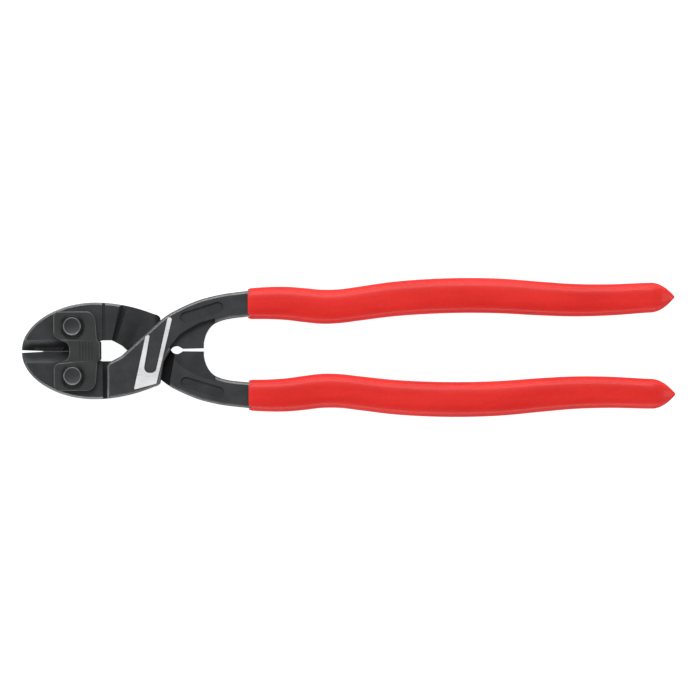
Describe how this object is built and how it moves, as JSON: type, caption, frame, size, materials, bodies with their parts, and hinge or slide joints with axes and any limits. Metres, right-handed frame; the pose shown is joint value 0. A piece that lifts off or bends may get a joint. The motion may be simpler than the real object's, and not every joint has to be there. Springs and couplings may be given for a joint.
{
  "type": "compact bolt cutters",
  "caption": "Compact hand bolt cutters: short jaws joined by link plates, crossed levers in a lap joint, long dipped sleeves; shown closed.",
  "frame": {"origin": "under the middle of the tool's bounding box, on the plane that the rear bolt heads rest on", "axes": "+X from the jaw tips to the ends of the handles, +Y to the upper handle, +Z out of the front face, parallel to every pivot"},
  "size_m": [0.2499, 0.0532, 0.0188],
  "materials": {
    "jaw_steel": "black oxide",
    "plate_steel": "black oxide",
    "bolt_steel": "black oxide",
    "lever_steel": "black oxide",
    "pin_steel": "ground",
    "red_sleeve": "dipped, satin gloss"
  },
  "bodies": {
    "upper_handle": {"upper_lever": "lever_steel", "main_pivot_pin": "pin_steel", "upper_grip": "red_sleeve"},
    "lower_handle": {"lower_lever": "lever_steel", "lower_grip": "red_sleeve"},
    "lower_jaw_body": {"lower_jaw": "jaw_steel"},
    "link": {"front_link_plate": "plate_steel", "back_link_plate": "plate_steel", "upper_jaw_bolt": "bolt_steel", "lower_jaw_bolt": "bolt_steel"},
    "upper_jaw_body": {"upper_jaw": "jaw_steel"}
  },
  "joints": [
    {"name": "handle_hinge", "type": "hinge", "parent": "upper_handle", "child": "lower_handle", "pos_m": [-0.0758, 0, 0.0094], "axis": [0, 0, -1], "range_deg": [0, 18]},
    {"name": "lower_jaw_slide", "type": "slide", "parent": "upper_handle", "child": "lower_jaw_body", "axis": [-0.3065, 0.9519, 0], "range_m": [0, 0.005]},
    {"name": "lower_jaw_hinge", "type": "hinge", "parent": "lower_jaw_body", "child": "link", "pos_m": [-0.1053, -0.0095, 0.0094], "axis": [0, 0, -1], "range_deg": [0, 9.1]},
    {"name": "upper_jaw_hinge", "type": "hinge", "parent": "link", "child": "upper_jaw_body", "pos_m": [-0.1053, 0.0095, 0.0094], "axis": [0, 0, -1], "range_deg": [0, 9.1]}
  ],
  "couplings": [
    {"joint": "lower_jaw_slide", "follows": "handle_hinge", "m_per_rad": 0.0159},
    {"joint": "lower_jaw_hinge", "follows": "handle_hinge", "ratio": 0.5},
    {"joint": "upper_jaw_hinge", "follows": "handle_hinge", "ratio": 0.5}
  ]
}
